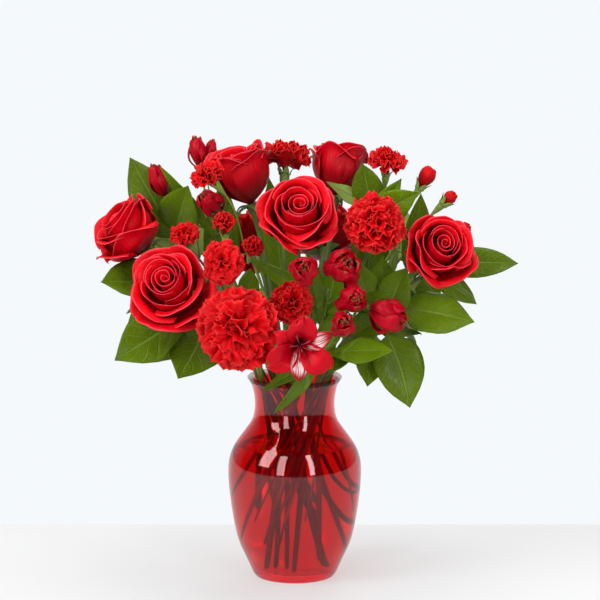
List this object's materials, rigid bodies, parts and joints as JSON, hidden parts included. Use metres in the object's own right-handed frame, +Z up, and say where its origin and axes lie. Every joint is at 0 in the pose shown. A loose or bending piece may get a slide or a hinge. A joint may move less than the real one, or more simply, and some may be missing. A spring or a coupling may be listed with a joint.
{
  "type": "roses and carnations in a vase",
  "caption": "Arrangement of red roses, carnations, mini carnations and alstroemeria with salal leaves, standing in a clear red glass vase with a waisted neck.",
  "frame": {"origin": "centre of the vase's flat underside, on the surface it stands on", "axes": "+Z up along the vase's axis; the front of the arrangement faces -Y; +X is to its right as seen from the front"},
  "size_m": [0.424, 0.291, 0.4394],
  "materials": {
    "red_glass": "gloss",
    "rose_petal": "satin",
    "carnation_petal": "matt",
    "mini_carnation_petal": "matt",
    "alstroemeria_petal": "satin",
    "stem_green": "satin",
    "alstroemeria_green": "satin",
    "leaf_green": "satin"
  },
  "bodies": {
    "root": {"alstroemeria_a": "alstroemeria_petal", "alstroemeria_b": "alstroemeria_petal", "alstroemeria_c": "alstroemeria_petal", "alstroemeria_d": "alstroemeria_petal", "alstroemeria_e": "alstroemeria_petal", "alstroemeria_g": "alstroemeria_petal", "alstroemeria_h": "alstroemeria_petal", "alstroemeria_i": "alstroemeria_petal", "alstroemeria_j": "alstroemeria_petal", "alstroemeria_k": "alstroemeria_petal", "alstroemeria_stem_back": "alstroemeria_green", "alstroemeria_stem_front": "alstroemeria_green", "alstroemeria_stem_middle": "alstroemeria_green", "carnation_bloom_back": "carnation_petal", "carnation_bloom_front": "carnation_petal", "carnation_bloom_low": "carnation_petal", "carnation_bloom_right": "carnation_petal", "carnation_bloom_top": "carnation_petal", "carnation_stem_back": "stem_green", "carnation_stem_front": "stem_green", "carnation_stem_low": "stem_green", "carnation_stem_right": "stem_green", "carnation_stem_top": "stem_green", "mini_carnation_a": "mini_carnation_petal", "mini_carnation_b": "mini_carnation_petal", "mini_carnation_c": "mini_carnation_petal", "mini_carnation_d": "mini_carnation_petal", "mini_carnation_e": "mini_carnation_petal", "mini_carnation_f": "mini_carnation_petal", "mini_carnation_g": "mini_carnation_petal", "mini_carnation_h": "mini_carnation_petal", "mini_carnation_i": "mini_carnation_petal", "mini_spray_stem_front": "stem_green", "mini_spray_stem_left": "stem_green", "mini_spray_stem_right": "stem_green", "rose_bloom_back": "rose_petal", "rose_bloom_centre": "rose_petal", "rose_bloom_front_left": "rose_petal", "rose_bloom_left": "rose_petal", "rose_bloom_right": "rose_petal", "rose_bloom_top": "rose_petal", "rose_bloom_upper_left": "rose_petal", "rose_stem_back": "stem_green", "rose_stem_centre": "stem_green", "rose_stem_front_left": "stem_green", "rose_stem_left": "stem_green", "rose_stem_right": "stem_green", "rose_stem_top": "stem_green", "rose_stem_upper_left": "stem_green", "salal_back_centre": "leaf_green", "salal_back_left": "leaf_green", "salal_back_right": "leaf_green", "salal_lower_left": "leaf_green", "salal_lower_right": "leaf_green", "salal_right": "leaf_green", "salal_right_front": "leaf_green", "salal_top": "leaf_green", "salal_upper_left": "leaf_green", "vase": "red_glass"}
  },
  "joints": []
}
